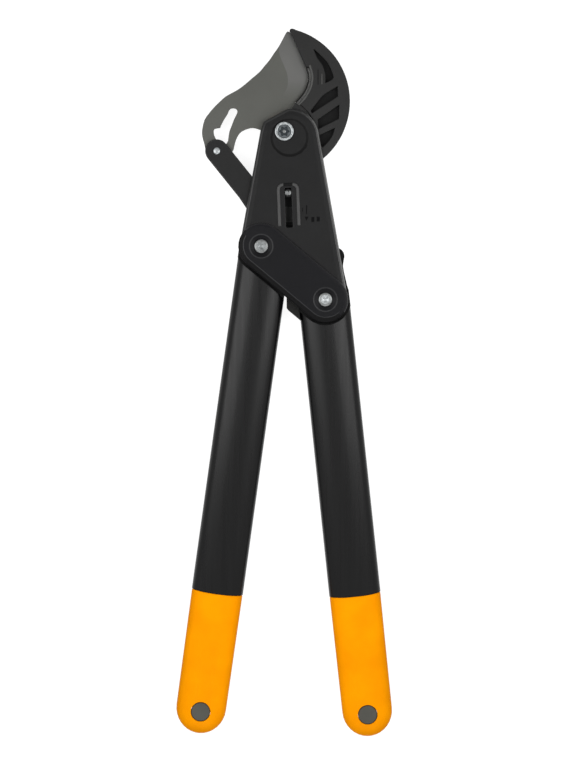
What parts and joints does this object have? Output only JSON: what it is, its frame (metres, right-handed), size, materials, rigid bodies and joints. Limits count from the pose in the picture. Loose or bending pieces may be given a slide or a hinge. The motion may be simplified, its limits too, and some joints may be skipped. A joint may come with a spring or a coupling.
{
  "type": "anvil lopper",
  "caption": "Closed anvil lopper with tubular handles, smooth end grips, a slanted link plate, a long housing, a blade with a hooked tail and a ribbed anvil.",
  "frame": {"origin": "centre of the flat back of the rear link plate, halfway between the two lower bolts, with the tool lying on its back", "axes": "+Y towards the blade's tip, +X towards the anvil's side, +Z out of the front housing"},
  "size_m": [0.2329, 0.7639, 0.036],
  "materials": {
    "housing": "fine matte texture",
    "link_plate": "matte black coat",
    "anvil": "fine matte texture",
    "blade": "dark non-stick coat, ground bevel",
    "zinc_steel": "bright zinc",
    "push_arm": "satin black coat",
    "tube": "satin black coat",
    "grip": "smooth satin",
    "grip_plug": "matte",
    "insert": "matte",
    "bumper": "matte",
    "bush": "plain bearing metal"
  },
  "bodies": {
    "frame": {"front_housing": "housing", "rear_housing": "housing", "front_link_plate": "link_plate", "rear_link_plate": "link_plate", "anvil_body": "anvil", "anvil_strip": "zinc_steel", "main_bolt": "zinc_steel", "main_nut": "zinc_steel", "main_bush": "bush", "front_blade_washer": "bush", "rear_blade_washer": "bush", "left_pivot_bolt": "zinc_steel", "left_pivot_nut": "zinc_steel", "left_pivot_bush": "bush", "right_bolt": "zinc_steel", "right_nut": "zinc_steel", "upper_anvil_dowel": "zinc_steel", "lower_anvil_dowel": "zinc_steel", "insert_dowel": "zinc_steel", "right_insert": "insert", "right_tube": "tube", "right_grip": "grip", "right_grip_plug": "grip_plug", "stop_bumper": "bumper"},
    "lever": {"left_insert": "insert", "left_tube": "tube", "left_grip": "grip", "left_grip_plug": "grip_plug"},
    "push_arm": {"front_push_arm": "push_arm", "rear_push_arm": "push_arm", "push_arm_pin": "zinc_steel", "push_arm_pivot_pin": "zinc_steel"},
    "blade": {"blade": "blade"},
    "slider": {"slider": "zinc_steel"}
  },
  "joints": [
    {"name": "handle_hinge", "type": "hinge", "parent": "frame", "child": "lever", "pos_m": [-0.0346, 0.02875, 0.018], "axis": [0, 0, -1], "range_deg": [0, 60]},
    {"name": "push_arm_hinge", "type": "hinge", "parent": "lever", "child": "push_arm", "pos_m": [-0.032, 0.06475, 0.018], "axis": [0, 0, 1], "range_deg": [0, 61]},
    {"name": "blade_hinge", "type": "hinge", "parent": "frame", "child": "blade", "pos_m": [-0.0097, 0.15265, 0.018], "axis": [0, 0, 1], "range_deg": [0, 62]},
    {"name": "slider_slide", "type": "slide", "parent": "frame", "child": "slider", "axis": [0.0393, -0.9992, 0], "range_m": [0, 0.0335]}
  ],
  "couplings": [
    {"joint": "push_arm_hinge", "follows": "handle_hinge", "ratio": 1.0167},
    {"joint": "blade_hinge", "follows": "handle_hinge", "ratio": 1.0333}
  ]
}
